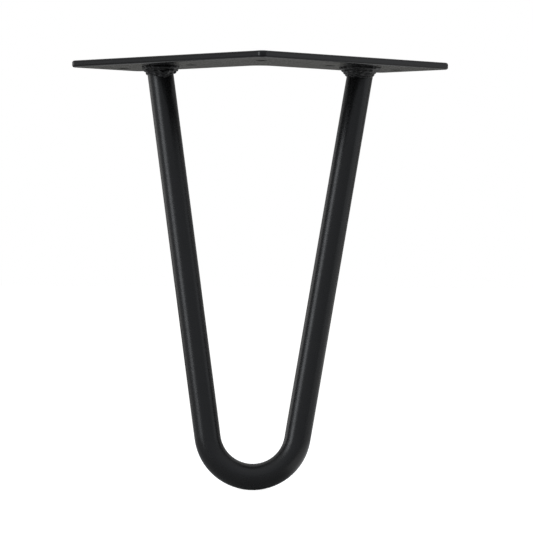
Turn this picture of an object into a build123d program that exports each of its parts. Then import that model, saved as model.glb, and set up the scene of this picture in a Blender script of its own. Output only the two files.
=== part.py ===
from build123d import *

import os
from math import acos, atan2, cos, hypot, radians, sin, tan

# Short hairpin table leg: one round steel bar bent into a hairpin and welded under an L-shaped screw plate.
# Millimetres. The origin is the centre of the corner screw hole, on the face that meets the table top.
# +Z points up into the table, and the plate's outer corner points towards -Y.

# Mounting plate
arm_angle = 45.0  # each arm, measured from the plate's centre line
arm_length = 128.0  # outer edge of an arm, from the plate's outer corner to the arm's end
arm_width = 46.0
plate_thickness = 3.2
corner_radius = 3.0  # the plate's outer corner
notch_radius = 7.0  # the inner corner between the arms
end_radius = 4.0  # both corners of an arm's end
edge_rounding = 1.0  # rim of the plate, softened by the powder coat

# Screw holes
hole_diameter = 5.2
corner_hole_inset = 19.5  # from both outer edges
inner_hole_distance = 68.5  # along an arm, from the plate's outer corner
outer_hole_inset = 13.5  # from an arm's end

# Hairpin rod
overall_height = 200.0  # from the mounting face down to the foot
bar_diameter = 12.2
bend_radius = 21.0  # of the foot, at the bar's axis
bar_distance = 90.0  # along an arm, from the plate's outer corner to the bar's end
foot_splay = 30.0  # from the bar's ends out to the foot, towards the plate's outer corner
foot_lean = -3.0  # from the plate's centre line to the foot, sideways

# Weld beads
weld_plate_leg = 3.2  # width of a bead on the plate
weld_bar_leg = 3.8  # height of a bead on the bar
weld_crown = 0.5  # how far a bead's face bulges beyond a straight slope
weld_toe = 0.35  # thickness that is left where a bead runs out on the bar

bar_radius = bar_diameter / 2
corner_y = -corner_hole_inset / sin(radians(arm_angle))
underside = Plane.XY.offset(-plate_thickness)


def on_arm(side, along, across, height=0):
    """A point of the plate: along an arm's outer edge from the outer corner, then across the arm."""
    aside, back = sin(radians(arm_angle)), cos(radians(arm_angle))
    return Vector(side * (along * aside - across * back), corner_y + along * back + across * aside, height)


# The plate is cut from sheet, its rim is rounded, and the screw holes go straight through it.
notch_along = arm_width / tan(radians(arm_angle))
plate_corners = [
    (on_arm(1, 0, 0), corner_radius),
    (on_arm(1, arm_length, 0), end_radius),
    (on_arm(1, arm_length, arm_width), end_radius),
    (on_arm(1, notch_along, arm_width), notch_radius),
    (on_arm(-1, arm_length, arm_width), end_radius),
    (on_arm(-1, arm_length, 0), end_radius),
]
arm_holes = [
    on_arm(side, distance, arm_width / 2)
    for side in (-1, 1)
    for distance in (inner_hole_distance, arm_length - outer_hole_inset)
]

with BuildPart() as mounting_plate:
    with BuildSketch():
        with BuildLine():
            FilletPolyline(
                *[point for point, _ in plate_corners],
                radius=[radius for _, radius in plate_corners],
                close=True,
            )
        make_face()
    extrude(amount=-plate_thickness)
    fillet(mounting_plate.faces().filter_by(Axis.Z).edges(), edge_rounding)
    with Locations((0, 0), *arm_holes):
        Hole(hole_diameter / 2)

mounting_plate.part.label = "mounting_plate"


def bar_end(side):
    """The middle of the bar's end on one side, on the plate's underside."""
    return on_arm(side, bar_distance, arm_width / 2, -plate_thickness)


# The bar lies in one plane, which leans from the two ends on the plate out to the foot. The plane's own
# origin is level with the lowest point of the bar's axis.
foot_height = bar_radius - overall_height
end_rise = bar_end(1).Z - foot_height
slant_height = hypot(foot_splay, end_rise)
hairpin_plane = Plane(
    origin=(0, bar_end(1).Y - foot_splay, foot_height),
    x_dir=(1, 0, 0),
    z_dir=(0, -end_rise, foot_splay),
)


def bend_start(side):
    """Where the straight leg on one side runs into the bend, tangent to it."""
    reach_x, reach_y = bar_end(side).X - foot_lean, slant_height - bend_radius
    angle = atan2(reach_y, reach_x) - side * acos(bend_radius / hypot(reach_x, reach_y))
    return hairpin_plane.from_local_coords(
        (foot_lean + bend_radius * cos(angle), bend_radius + bend_radius * sin(angle))
    )


def leg_direction(side):
    """Up along the straight leg on one side."""
    return (bar_end(side) - bend_start(side)).normalized()


# The bar is bent with a little spare length, and both ends are then trimmed flush with the plate.
spare_length = bar_diameter

with BuildPart() as hairpin_rod:
    with BuildLine():
        left_leg = Line(bar_end(-1) + leg_direction(-1) * spare_length, bend_start(-1))
        ThreePointArc(bend_start(-1), hairpin_plane.from_local_coords((foot_lean, 0)), bend_start(1))
        Line(bend_start(1), bar_end(1) + leg_direction(1) * spare_length)
    with BuildSketch(Plane(origin=left_leg @ 0, z_dir=left_leg % 0)):
        Circle(bar_radius)
    sweep()
    split(bisect_by=underside, keep=Keep.BOTTOM)

hairpin_rod.part.label = "hairpin_rod"

# A bead is laid round each end of the bar. It is centred on the point where it runs out on the leaning bar,
# so it is wider in the sharp corner between bar and plate than in the open one.
welds = []

for name, side in (("left_weld", -1), ("right_weld", 1)):
    upright = leg_direction(side).Z
    run_out = bar_end(side) - leg_direction(side) * (weld_bar_leg / upright)
    slanted_radius = bar_radius / upright
    bead_plane = Plane((run_out.X, run_out.Y, -plate_thickness), x_dir=(1, 0, 0), z_dir=(0, -1, 0))
    with BuildPart() as weld:
        with BuildSketch(bead_plane):
            with BuildLine():
                Polyline(
                    (0, 0),
                    (slanted_radius + weld_plate_leg, 0),
                    (slanted_radius + (weld_plate_leg + weld_toe) / 2 + weld_crown, -weld_bar_leg / 2),
                    (slanted_radius + weld_toe, -weld_bar_leg),
                    (0, -weld_bar_leg),
                    close=True,
                )
            make_face()
        revolve(axis=Axis(bead_plane.origin, (0, 0, 1)))
        add(hairpin_rod.part, mode=Mode.SUBTRACT)
    weld.part.label = name
    welds.append(weld.part)

os.makedirs("parts", exist_ok=True)
for piece in (mounting_plate.part, hairpin_rod.part, *welds):
    export_step(piece, f"parts/{piece.label}.step")
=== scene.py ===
from math import cos, exp, pi, radians, sin

import bmesh
import bpy
from mathutils import Matrix, Vector


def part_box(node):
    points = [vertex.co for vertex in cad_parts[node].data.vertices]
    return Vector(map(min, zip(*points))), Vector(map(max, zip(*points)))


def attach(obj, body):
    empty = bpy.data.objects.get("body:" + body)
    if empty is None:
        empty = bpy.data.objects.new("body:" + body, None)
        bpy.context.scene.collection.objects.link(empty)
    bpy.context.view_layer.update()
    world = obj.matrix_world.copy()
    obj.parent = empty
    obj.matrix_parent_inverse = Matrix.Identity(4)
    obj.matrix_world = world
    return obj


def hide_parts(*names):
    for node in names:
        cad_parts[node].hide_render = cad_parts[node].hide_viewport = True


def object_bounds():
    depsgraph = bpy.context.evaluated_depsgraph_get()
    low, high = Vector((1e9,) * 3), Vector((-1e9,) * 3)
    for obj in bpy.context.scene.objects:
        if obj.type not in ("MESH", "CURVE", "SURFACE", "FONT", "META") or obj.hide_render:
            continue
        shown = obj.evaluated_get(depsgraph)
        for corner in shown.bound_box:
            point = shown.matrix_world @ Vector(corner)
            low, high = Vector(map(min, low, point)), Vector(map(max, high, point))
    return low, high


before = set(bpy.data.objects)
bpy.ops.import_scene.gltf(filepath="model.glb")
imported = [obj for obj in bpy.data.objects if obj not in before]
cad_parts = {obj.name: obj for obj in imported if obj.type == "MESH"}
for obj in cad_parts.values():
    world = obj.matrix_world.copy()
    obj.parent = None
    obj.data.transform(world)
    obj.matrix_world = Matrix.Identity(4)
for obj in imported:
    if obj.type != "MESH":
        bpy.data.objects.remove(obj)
cad_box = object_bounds()


# Mounting plate. An L of 3 mm sheet steel that screws up under a table's corner. It is cut out, its rim is
# softened and five plain holes go through it, and it is coated once the bar is welded to it.

mm = 0.001  # metres


def linear(hex_colour):
    """An sRGB hex colour as linear red, green, blue and alpha."""
    shares = [int(hex_colour[i : i + 2], 16) / 255 for i in (1, 3, 5)]
    return [s / 12.92 if s <= 0.04045 else ((s + 0.055) / 1.055) ** 2.4 for s in shares] + [1.0]


def add_node(tree, kind, inputs=None, **settings):
    """Adds a node, sets its settings, and sets or links its inputs."""
    node = tree.nodes.new(kind)
    for name, value in settings.items():
        setattr(node, name, value)
    for socket, value in (inputs or {}).items():
        if isinstance(value, bpy.types.NodeSocket):
            tree.links.new(value, node.inputs[socket])
        else:
            node.inputs[socket].default_value = value
    return node


def satin_powder_coat(name, roughness, peel_spacing, peel_height):
    """Satin black polyester powder, sprayed on bare steel and baked.

    To the eye it is near black with a soft, slightly broken sheen. The film flows out to a fine orange
    peel, is thicker in some spots and duller in others, and covers a few nibs of dust.
    """
    thin_film, thick_film = "#09090a", "#101011"
    film_spacing = 6 * mm
    dull_spacing = 0.9 * mm  # the real grain is under 0.1 mm, and is drawn coarser so that it shows
    dull_range = 0.05  # of the roughness, up and down
    nib_spacing, nib_radius, nib_height = 5.5 * mm, 0.35 * mm, 0.03 * mm
    resin_ior, resin_gloss = 1.5, 0.3  # a matting agent takes away some of the resin's gloss
    noise_low, noise_high = 0.3, 0.7  # most of a noise pattern lies between these

    material = bpy.data.materials.new(name)
    material.use_nodes = True
    tree = material.node_tree
    tree.nodes.clear()
    place = add_node(tree, "ShaderNodeTexCoord").outputs["Object"]
    film, dull, peel = (
        add_node(tree, "ShaderNodeTexNoise", {"Vector": place, "Scale": 1 / spacing}).outputs["Fac"]
        for spacing in (film_spacing, dull_spacing, peel_spacing)
    )
    colour = add_node(
        tree,
        "ShaderNodeMix",
        {"Factor": film, "A": linear(thin_film), "B": linear(thick_film)},
        data_type="RGBA",
    )
    sheen = add_node(
        tree,
        "ShaderNodeMapRange",
        {
            "Value": dull,
            "From Min": noise_low,
            "From Max": noise_high,
            "To Min": roughness - dull_range,
            "To Max": roughness + dull_range,
        },
    )
    nibs = add_node(tree, "ShaderNodeTexVoronoi", {"Vector": place, "Scale": 1 / nib_spacing})
    nib = add_node(
        tree,
        "ShaderNodeMapRange",
        {
            "Value": nibs.outputs["Distance"],
            "From Max": nib_radius / nib_spacing,
            "To Min": 1.0,
            "To Max": 0.0,
        },
        interpolation_type="SMOOTHSTEP",
    )
    flow = add_node(tree, "ShaderNodeBump", {"Height": peel, "Distance": peel_height})
    flow = add_node(
        tree,
        "ShaderNodeBump",
        {"Height": nib.outputs["Result"], "Distance": nib_height, "Normal": flow.outputs["Normal"]},
    )
    surface = add_node(
        tree,
        "ShaderNodeBsdfPrincipled",
        {
            "Base Color": colour.outputs["Result"],
            "Roughness": sheen.outputs["Result"],
            "Specular IOR Level": resin_gloss,
            "IOR": resin_ior,
            "Normal": flow.outputs["Normal"],
        },
    )
    add_node(tree, "ShaderNodeOutputMaterial", {"Surface": surface.outputs["BSDF"]})
    return material


def finish_node(name, material):
    """Gives a node of the frame its finish."""
    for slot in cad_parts[name].material_slots:
        slot.material = material


sheet_coat = satin_powder_coat(
    "satin_black_powder_coat_on_sheet", roughness=0.22, peel_spacing=1.8 * mm, peel_height=0.017 * mm
)
finish_node("mounting_plate", sheet_coat)


# Hairpin rod. One 12 mm round steel bar, bent cold into a U with a small radius at the foot. Its two ends
# are cut to lie flat under the plate, and it leans out towards the plate's outer corner.

bar_coat = satin_powder_coat(
    "satin_black_powder_coat_on_bar", roughness=0.3, peel_spacing=1.8 * mm, peel_height=0.018 * mm
)
finish_node("hairpin_rod", bar_coat)


# Weld beads. Filler metal joins each end of the bar to the plate, all the way round. It was laid by hand in
# passes of overlapping puddles, is fuller on some sides than on others, and was coated as it had set.


def leg_axis(side):
    """One end of the bar: its middle, the bar's lean for each unit of height, and the bar's radius."""
    end_margin = 0.1 * mm  # a corner this close to the top is on the bar's cut end
    wall_limit = 0.5  # a face of the bar's wall has less of its normal along Z than this
    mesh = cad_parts["hairpin_rod"].data
    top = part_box("hairpin_rod")[1].z
    on_top = {v.index for v in mesh.vertices if v.co.z > top - end_margin and v.co.x * side > 0}
    upright = [set(p.vertices) for p in mesh.polygons if abs(p.normal.z) < wall_limit]
    wall = [corners for corners in upright if corners & on_top]
    rim = set().union(*[corners & on_top for corners in wall])
    bend = set().union(*[corners - on_top for corners in wall])
    end = sum((mesh.vertices[i].co for i in rim), Vector()) / len(rim)
    start = sum((mesh.vertices[i].co for i in bend), Vector()) / len(bend)
    radius = sum((mesh.vertices[i].co - start).length for i in bend) / len(bend)
    rise = end - start
    return end, Vector((rise.x / rise.z, rise.y / rise.z, 0)), radius


def root_fillet(name, bead_point, plate_leg, bar_leg, hollow):
    """A closed ring of metal in the corner between bar and plate.

    Its face is a hollow quarter round where hollow is 1, straight where it is 0, and bulges below that.
    """
    sunk = 0.6 * mm  # into the bar and the plate, so that no gap shows
    around, steps = 96, 12  # facets round the bar, and across the face
    section = [(-sunk, bar_leg), (-sunk, -sunk), (plate_leg, -sunk)]
    for step in range(steps + 1):
        slope = step / steps
        turn = slope * pi / 2
        out = hollow * (1 - sin(turn)) + (1 - hollow) * (1 - slope)
        down = hollow * (1 - cos(turn)) + (1 - hollow) * slope
        section.append((plate_leg * out, bar_leg * down))
    mesh = bmesh.new()
    loops = []
    for out, down in section:
        bearings = (360 * i / around for i in range(around))
        loops.append([mesh.verts.new(bead_point(bearing, out, down)) for bearing in bearings])
    for lower, upper in zip(loops, loops[1:] + loops[:1]):
        for i in range(around):
            j = (i + 1) % around
            mesh.faces.new((lower[i], lower[j], upper[j], upper[i]))
    bmesh.ops.recalc_face_normals(mesh, faces=mesh.faces)
    data = bpy.data.meshes.new(name)
    mesh.to_mesh(data)
    mesh.free()
    return data


def puddle_pass_tree():
    """Geometry nodes that lay a ring of puddles, each a little different, on what was laid before."""
    tree = bpy.data.node_groups.new("puddle_pass", "GeometryNodeTree")
    for name, kind in (
        ("Bead So Far", "Geometry"),
        ("Path", "Object"),
        ("Puddle Spacing", "Float"),
        ("Puddle Size", "Vector"),
        ("Smallest", "Float"),
        ("Largest", "Float"),
        ("Turn", "Vector"),
        ("Wander", "Vector"),
        ("Seed", "Int"),
        ("Coat", "Material"),
    ):
        tree.interface.new_socket(name, in_out="INPUT", socket_type="NodeSocket" + kind)
    tree.interface.new_socket("Bead", in_out="OUTPUT", socket_type="NodeSocketGeometry")
    given = add_node(tree, "NodeGroupInput").outputs
    path = add_node(tree, "GeometryNodeObjectInfo", {"Object": given["Path"]})
    spots = add_node(
        tree,
        "GeometryNodeCurveToPoints",
        {"Curve": path.outputs["Geometry"], "Length": given["Puddle Spacing"]},
        mode="LENGTH",
    )
    along = add_node(
        tree,
        "FunctionNodeAlignRotationToVector",
        {"Vector": spots.outputs["Tangent"]},
        axis="Y",
        pivot_axis="Z",
    )
    chance = {}
    for name in ("Turn", "Wander"):
        least = add_node(tree, "ShaderNodeVectorMath", {0: given[name], "Scale": -1.0}, operation="SCALE")
        chance[name] = add_node(
            tree,
            "FunctionNodeRandomValue",
            {0: least.outputs["Vector"], 1: given[name], "Seed": given["Seed"]},
            data_type="FLOAT_VECTOR",
        ).outputs[0]
    growth = add_node(
        tree,
        "FunctionNodeRandomValue",
        {2: given["Smallest"], 3: given["Largest"], "Seed": given["Seed"]},
        data_type="FLOAT",
    ).outputs[1]
    loose = add_node(
        tree, "GeometryNodeSetPosition", {"Geometry": spots.outputs["Points"], "Offset": chance["Wander"]}
    )
    turn = add_node(tree, "FunctionNodeEulerToRotation", {"Euler": chance["Turn"]})
    turned = add_node(
        tree,
        "FunctionNodeRotateRotation",
        {"Rotation": along.outputs["Rotation"], "Rotate By": turn.outputs["Rotation"]},
        rotation_space="LOCAL",
    )
    size = add_node(
        tree, "ShaderNodeVectorMath", {0: given["Puddle Size"], "Scale": growth}, operation="SCALE"
    )
    drop = add_node(tree, "GeometryNodeMeshIcoSphere", {"Radius": 1.0, "Subdivisions": 4})
    puddles = add_node(
        tree,
        "GeometryNodeInstanceOnPoints",
        {
            "Points": loose.outputs["Geometry"],
            "Instance": drop.outputs["Mesh"],
            "Rotation": turned.outputs["Rotation"],
            "Scale": size.outputs["Vector"],
        },
    )
    together = add_node(tree, "GeometryNodeJoinGeometry", {"Geometry": given["Bead So Far"]})
    tree.links.new(puddles.outputs["Instances"], together.inputs["Geometry"])
    real = add_node(tree, "GeometryNodeRealizeInstances", {"Geometry": together.outputs["Geometry"]})
    coated = add_node(
        tree, "GeometryNodeSetMaterial", {"Geometry": real.outputs["Geometry"], "Material": given["Coat"]}
    )
    add_node(tree, "NodeGroupOutput", {"Bead": coated.outputs["Geometry"]})
    return tree


def settled_metal_tree():
    """Geometry nodes that swell and sink the fused metal a little, as it sets unevenly."""
    noise_middle = 0.5  # taken off the noise, so that the metal sinks as much as it swells
    tree = bpy.data.node_groups.new("settled_metal", "GeometryNodeTree")
    for name, kind in (("Bead", "Geometry"), ("Lump Spacing", "Float"), ("Lump Height", "Float")):
        tree.interface.new_socket(name, in_out="INPUT", socket_type="NodeSocket" + kind)
    tree.interface.new_socket("Bead", in_out="OUTPUT", socket_type="NodeSocketGeometry")
    given = add_node(tree, "NodeGroupInput").outputs
    place = add_node(tree, "GeometryNodeInputPosition").outputs["Position"]
    pitch = add_node(tree, "ShaderNodeMath", {0: 1.0, 1: given["Lump Spacing"]}, operation="DIVIDE")
    lumps = add_node(
        tree, "ShaderNodeTexNoise", {"Vector": place, "Scale": pitch.outputs[0], "Detail": 1.0}
    )
    swell = add_node(
        tree, "ShaderNodeMath", {0: lumps.outputs["Fac"], 1: noise_middle}, operation="SUBTRACT"
    )
    swell = add_node(
        tree, "ShaderNodeMath", {0: swell.outputs[0], 1: given["Lump Height"]}, operation="MULTIPLY"
    )
    outwards = add_node(tree, "GeometryNodeInputNormal").outputs["Normal"]
    offset = add_node(
        tree, "ShaderNodeVectorMath", {0: outwards, "Scale": swell.outputs[0]}, operation="SCALE"
    )
    settled = add_node(
        tree, "GeometryNodeSetPosition", {"Geometry": given["Bead"], "Offset": offset.outputs["Vector"]}
    )
    add_node(tree, "NodeGroupOutput", {"Bead": settled.outputs["Geometry"]})
    return tree


weld_coat = satin_powder_coat(
    "satin_black_powder_coat_on_weld", roughness=0.34, peel_spacing=0.9 * mm, peel_height=0.04 * mm
)
puddle_pass = puddle_pass_tree()
settled_metal = settled_metal_tree()


def set_inputs(modifier, values):
    """Sets a node modifier's inputs by the names that its tree gives them."""
    for item in modifier.node_group.interface.items_tree:
        if item.name in values and item.in_out == "INPUT":
            modifier[item.identifier] = values[item.name]


def pass_path(name, points):
    """A closed curve through the points."""
    curve = bpy.data.curves.new(name, "CURVE")
    curve.dimensions = "3D"
    spline = curve.splines.new("POLY")
    spline.points.add(len(points) - 1)
    for knot, point in zip(spline.points, points):
        knot.co = (*point, 1)
    spline.use_cyclic_u = True
    path = bpy.data.objects.new(name, curve)
    bpy.context.scene.collection.objects.link(path)
    return path


def weld_bead(name, side, plate_leg, bar_leg, hollow, full_side, low_side, swells, passes, melt, lumps):
    """One bead: a fillet in the corner, with passes of puddles laid over it, all run together. Millimetres.

    A bearing of 0 faces the plate's outer corner, and 90 is to the right of it. The bead's toe on the plate
    is moved to its full side, its edge on the bar hangs lower on its low side, and it swells at some
    bearings by a share of its size. An unevenness of 0 makes all puddles alike.
    """
    path_step = 4  # degrees
    most_turn = Vector((2, 2, 2))  # radians, at an unevenness of 1
    most_wander = Vector((1.2, 1.2, 1.0)) * mm  # at an unevenness of 1
    voxel = 0.18 * mm
    softening = 0.5  # share of the way to its neighbours' middle that a point moves in one round of melt

    end, lean, radius = leg_axis(side)
    full = Vector((*full_side, 0)) / bar_leg
    low = Vector((*low_side, 0)) / bar_leg

    def bead_point(bearing, out, down):
        """The point that is so far out from the bar's side and so far down from the plate, in metres."""
        outwards = Vector((sin(radians(bearing)), -cos(radians(bearing)), 0))
        wide, deep = 1, 1 + low.dot(outwards)
        for swell in swells:
            away = (bearing - swell["bearing"] + 180) % 360 - 180
            share = exp(-((away / swell["spread"]) ** 2))
            wide += swell["out"] * share
            deep += swell["down"] * share
        middle = end - (lean + Vector((0, 0, 1))) * down * deep + full * (bar_leg * mm - down)
        return middle + outwards * (radius + out * wide)

    root = root_fillet(name + "_root", bead_point, plate_leg * mm, bar_leg * mm, hollow)
    laid = bpy.data.objects.new(name + "_laid", root)
    bpy.context.scene.collection.objects.link(laid)
    paths = []
    for stage in passes:
        out, down, uneven = stage["out"] * mm, stage["down"] * mm, stage["uneven"]
        ring = [bead_point(bearing, out, down) for bearing in range(0, 360, path_step)]
        paths.append(pass_path(name + "_path", ring))
        puddles = laid.modifiers.new("puddles", "NODES")
        puddles.node_group = puddle_pass
        set_inputs(
            puddles,
            {
                "Path": paths[-1],
                "Puddle Spacing": stage["spacing"] * mm,
                "Puddle Size": Vector(stage["size"]) * mm,
                "Smallest": 1 - uneven,
                "Largest": 1 + uneven,
                "Turn": most_turn * uneven,
                "Wander": most_wander * uneven,
                "Seed": stage["seed"],
                "Coat": weld_coat,
            },
        )
    fused = laid.modifiers.new("fused", "REMESH")
    fused.mode = "VOXEL"
    fused.voxel_size = voxel
    fused.use_smooth_shade = True
    softened = laid.modifiers.new("softened", "SMOOTH")
    softened.factor = softening
    softened.iterations = melt
    settled = laid.modifiers.new("settled", "NODES")
    settled.node_group = settled_metal
    set_inputs(settled, {"Lump Spacing": lumps["spacing"] * mm, "Lump Height": lumps["height"] * mm})
    evaluated = laid.evaluated_get(bpy.context.evaluated_depsgraph_get())
    mesh = bpy.data.meshes.new_from_object(evaluated)
    for helper in (laid, *paths):
        bpy.data.objects.remove(helper)
    mesh.materials.clear()  # the join leaves an empty slot beside the coat
    mesh.materials.append(weld_coat)
    bead = bpy.data.objects.new(name, mesh)
    bpy.context.scene.collection.objects.link(bead)
    return bead


# The left bead is the smaller one. It bulges, and a tongue of it hangs down the front of the bar.
left_bead = weld_bead(
    "left_weld_bead",
    side=-1,
    plate_leg=2.1,
    bar_leg=3.3,
    hollow=-0.3,
    full_side=(0.4, -0.6),
    low_side=(-0.4, -0.8),
    swells=[
        dict(bearing=82, spread=40, out=0.3, down=-0.1),
        dict(bearing=16, spread=36, out=0.2, down=0.5),
    ],
    passes=[
        dict(out=1.5, down=0.3, spacing=2.1, size=(1.0, 1.8, 0.95), uneven=0.2, seed=3),
        dict(out=0.9, down=1.5, spacing=2.2, size=(0.95, 1.9, 0.95), uneven=0.22, seed=5),
        dict(out=0.2, down=2.6, spacing=2.3, size=(0.85, 2.0, 0.85), uneven=0.24, seed=7),
    ],
    melt=7,
    lumps=dict(spacing=2.2, height=0.9),
)
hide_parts("left_weld")
# The right bead is wider, with a straight face and more, smaller puddles.
right_bead = weld_bead(
    "right_weld_bead",
    side=1,
    plate_leg=3.2,
    bar_leg=3.7,
    hollow=0.0,
    full_side=(-0.7, -0.6),
    low_side=(-0.4, -0.8),
    swells=[
        dict(bearing=88, spread=40, out=0.15, down=0.1),
        dict(bearing=25, spread=30, out=0.3, down=0.3),
        dict(bearing=-60, spread=40, out=-0.1, down=0.0),
    ],
    passes=[
        dict(out=2.5, down=0.2, spacing=1.8, size=(1.0, 1.7, 0.9), uneven=0.12, seed=11),
        dict(out=1.6, down=1.25, spacing=1.6, size=(0.9, 1.5, 0.8), uneven=0.15, seed=12),
        dict(out=0.8, down=2.2, spacing=1.6, size=(0.85, 1.5, 0.75), uneven=0.15, seed=13),
        dict(out=0.0, down=3.1, spacing=1.6, size=(0.8, 1.5, 0.7), uneven=0.15, seed=14),
    ],
    melt=5,
    lumps=dict(spacing=2.4, height=0.7),
)
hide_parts("right_weld")
for bead in (left_bead, right_bead):
    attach(bead, "root")


# Floor. The leg stands on white paper on a grey table, which ends at a far white backdrop. The camera sees
# all of it as white, with a faint shadow of the foot. Metal mirrors the backdrop and three painted pools of
# light on the floor, which glow only in reflections: behind the leg, just right of the foot, and further
# off on the right.

paper_colour, table_colour, white = "#d4d4d4", "#6b6a65", "#ffffff"
floor_size = 40.0  # metres, as all the places below, which count from the foot
paper_edge = (0.35, 0.7)  # where the paper gives way to the table
backdrop_edge = (4.5, 14.0)  # where the table gives way to the backdrop
shadow_edge = (0.25, 0.6)  # where the foot's shadow has faded into plain white
shadow_base = 0.8
# Painted pools of light: the floor glows here only for mirror rays, a painted reflection that no lamp
# casts.
painted_light_patches = [
    dict(middle=(0.0, 0.32, 0.0), full=0.15, faded=0.26, strength=0.5),
    dict(middle=(0.11, 0.0, 0.0), full=0.075, faded=0.09, strength=0.7),
    dict(middle=(0.9, 0.5, 0.0), full=0.35, faded=0.7, strength=1.0),
]

foot = min((v.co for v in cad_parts["hairpin_rod"].data.vertices), key=lambda point: point.z)
bpy.ops.mesh.primitive_plane_add(size=floor_size, location=foot)
floor = bpy.context.object
floor.name = "floor"
paper = bpy.data.materials.new("white_paper_on_a_grey_table")
paper.use_nodes = True
tree = paper.node_tree
tree.nodes.clear()
rays = add_node(tree, "ShaderNodeLightPath").outputs
place = add_node(tree, "ShaderNodeTexCoord").outputs["Object"]
distance = add_node(tree, "ShaderNodeVectorMath", {0: place}, operation="LENGTH").outputs["Value"]
shares = {}
for name, (start, end), nearest in (
    ("table", paper_edge, 0.0),
    ("backdrop", backdrop_edge, 0.0),
    ("unshaded", shadow_edge, shadow_base),
):
    span = {"Value": distance, "From Min": start, "From Max": end, "To Min": nearest, "To Max": 1.0}
    shares[name] = add_node(tree, "ShaderNodeMapRange", span).outputs["Result"]
mirrored = shares["backdrop"]
# Each painted pool of light adds its glow to what metal mirrors. The camera and the lamps' light don't see
# it.
for patch in painted_light_patches:
    away = add_node(tree, "ShaderNodeVectorMath", {0: place, 1: patch["middle"]}, operation="DISTANCE")
    span = {
        "Value": away.outputs["Value"],
        "From Min": patch["full"],
        "From Max": patch["faded"],
        "To Min": patch["strength"],
        "To Max": 0.0,
    }
    painted_pool = add_node(tree, "ShaderNodeMapRange", span).outputs["Result"]
    mirrored = add_node(tree, "ShaderNodeMath", {0: mirrored, 1: painted_pool}, operation="MAXIMUM").outputs[0]
glow = add_node(
    tree, "ShaderNodeMath", {0: rays["Is Glossy Ray"], 1: mirrored}, operation="MULTIPLY"
).outputs[0]
for ray in ("Is Camera Ray", "Is Transmission Ray"):
    seen = add_node(
        tree, "ShaderNodeMath", {0: rays[ray], 1: shares["unshaded"]}, operation="MULTIPLY"
    ).outputs[0]
    glow = add_node(tree, "ShaderNodeMath", {0: glow, 1: seen}, operation="MAXIMUM").outputs[0]
colour = add_node(
    tree,
    "ShaderNodeMix",
    {"Factor": shares["table"], "A": linear(paper_colour), "B": linear(table_colour)},
    data_type="RGBA",
).outputs["Result"]
matt = add_node(tree, "ShaderNodeBsdfDiffuse", {"Color": colour}).outputs["BSDF"]
light = add_node(tree, "ShaderNodeEmission", {"Color": linear(white), "Strength": glow}).outputs["Emission"]
top = add_node(tree, "ShaderNodeAddShader", {0: matt, 1: light}).outputs["Shader"]
# From below the floor is clear, so that the underside of the leg can be looked at.
from_below = add_node(tree, "ShaderNodeNewGeometry").outputs["Backfacing"]
clear = add_node(tree, "ShaderNodeBsdfTransparent").outputs["BSDF"]
surface = add_node(tree, "ShaderNodeMixShader", {0: from_below, 1: top, 2: clear}).outputs["Shader"]
add_node(tree, "ShaderNodeOutputMaterial", {"Surface": surface})
floor.data.materials.append(paper)


# Room. A grey studio, cool and a little brighter on the camera's side, with a pale ceiling. The camera sees
# all of it as white. Metal mirrors the grey walls, and a white backdrop straight behind the leg.

room_colours = [  # from straight in front of the leg to straight behind it
    (0.0, "#cfd3d9"),
    (0.3, "#c5c9ce"),
    (0.45, "#9c9ea2"),
    (0.75, "#9c9c9c"),
    (0.9, "#acacab"),
]
ceiling_height = (0.3, 0.8)  # share of straight up, from the ceiling's edge to its full brightness
ceiling_brightness = 0.35
backdrop_width = (0.99, 0.995)  # share of straight back

world = bpy.data.worlds.new("studio")
world.use_nodes = True
bpy.context.scene.world = world
tree = world.node_tree
tree.nodes.clear()
rays = add_node(tree, "ShaderNodeLightPath").outputs
direction = add_node(tree, "ShaderNodeTexCoord").outputs["Generated"]
direction = add_node(tree, "ShaderNodeSeparateXYZ", {"Vector": direction}).outputs
shares = {}
for name, value, start, end, high in (
    ("depth", direction["Y"], -1.0, 1.0, 1.0),
    ("ceiling", direction["Z"], *ceiling_height, ceiling_brightness),
    ("backdrop", direction["Y"], *backdrop_width, 1.0),
):
    span = {"Value": value, "From Min": start, "From Max": end, "To Max": high}
    shares[name] = add_node(tree, "ShaderNodeMapRange", span).outputs["Result"]
walls = add_node(tree, "ShaderNodeValToRGB", {"Fac": shares["depth"]})
stops = walls.color_ramp.elements
for position, _ in room_colours[len(stops) :]:
    stops.new(position)
for stop, (position, colour) in zip(stops, room_colours):
    stop.position = position
    stop.color = linear(colour)
seen = add_node(
    tree, "ShaderNodeMath", {0: rays["Is Glossy Ray"], 1: shares["backdrop"]}, operation="MULTIPLY"
).outputs[0]
for ray in ("Is Camera Ray", "Is Transmission Ray"):
    seen = add_node(tree, "ShaderNodeMath", {0: seen, 1: rays[ray]}, operation="MAXIMUM").outputs[0]
walls = add_node(tree, "ShaderNodeBackground", {"Color": walls.outputs["Color"]}).outputs["Background"]
ceiling = add_node(
    tree, "ShaderNodeBackground", {"Color": linear(white), "Strength": shares["ceiling"]}
).outputs["Background"]
room = add_node(tree, "ShaderNodeAddShader", {0: walls, 1: ceiling}).outputs["Shader"]
backdrop = add_node(tree, "ShaderNodeBackground", {"Color": linear(white)}).outputs["Background"]
both = add_node(tree, "ShaderNodeMixShader", {0: seen, 1: room, 2: backdrop}).outputs["Shader"]
add_node(tree, "ShaderNodeOutputWorld", {"Surface": both})


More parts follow.
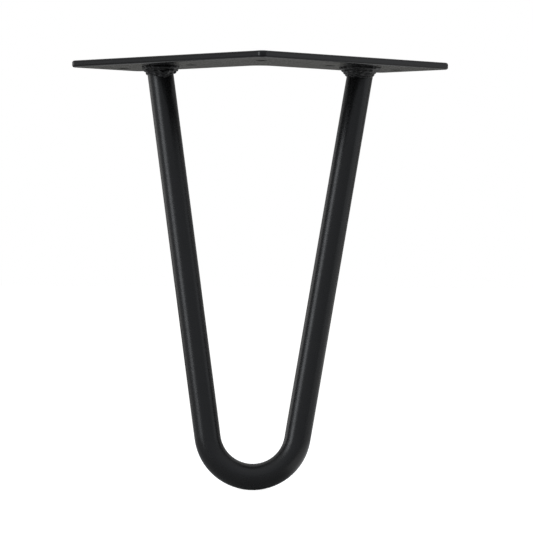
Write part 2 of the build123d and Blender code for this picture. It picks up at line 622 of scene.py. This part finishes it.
# Lamps. A tall softbox at the front left draws the long highlight down each side of the bar's U. Dim
# reflectors on the right, on the left and at the left rear draw the lighter rims.

lamp_distance = 1.0  # metres from the middle of the leg
cool_white = "#f7fbff"


def softbox(name, azimuth, elevation, width, height, colour, radiance):
    """A soft lamp that faces the leg. Azimuth counts from the camera, and left is negative."""
    middle = (cad_box[0] + cad_box[1]) / 2
    turn = Matrix.Rotation(radians(azimuth), 4, "Z") @ Matrix.Rotation(radians(90 - elevation), 4, "X")
    lamp = bpy.data.lights.new(name, "AREA")
    lamp.shape = "RECTANGLE"
    lamp.size = width
    lamp.size_y = height
    lamp.color = linear(colour)[:3]
    lamp.energy = radiance * pi * width * height  # watts that give its face this radiance
    holder = bpy.data.objects.new(name, lamp)
    holder.matrix_world = Matrix.Translation(middle) @ turn @ Matrix.Translation((0, 0, lamp_distance))
    bpy.context.scene.collection.objects.link(holder)


softbox("key_softbox", azimuth=-58, elevation=18, width=0.42, height=0.62, colour=cool_white, radiance=4.1)
softbox("side_reflector", azimuth=86, elevation=8, width=0.8, height=0.6, colour=cool_white, radiance=0.65)
softbox("left_reflector", azimuth=-89, elevation=2, width=0.4, height=0.5, colour=cool_white, radiance=0.42)
softbox("rear_reflector", azimuth=-120, elevation=4, width=0.6, height=0.5, colour=white, radiance=1.05)


# Camera. It looks at the plate's outer corner through a long lens, from about 1.6 m away and level with the
# middle of the leg, with the photograph's small turn, tilt and roll.

camera_place = Vector((-17.303, -1623.692, -98.879)) * mm
turn, tilt, roll = radians(-0.706), radians(0.072), radians(0.307)
lens, picture_width = 241.04, 36.0  # millimetres, as on a full-frame camera

camera_data = bpy.data.cameras.new("camera")
camera_data.sensor_width = picture_width
camera_data.lens = lens
camera = bpy.data.objects.new("camera", camera_data)
camera.matrix_world = (
    Matrix.Translation(camera_place)
    @ Matrix.Rotation(turn, 4, "Z")
    @ Matrix.Rotation(pi / 2 + tilt, 4, "X")
    @ Matrix.Rotation(roll, 4, "Z")
)
bpy.context.scene.collection.objects.link(camera)
bpy.context.scene.camera = camera
bpy.context.scene.view_settings.view_transform = "Standard"
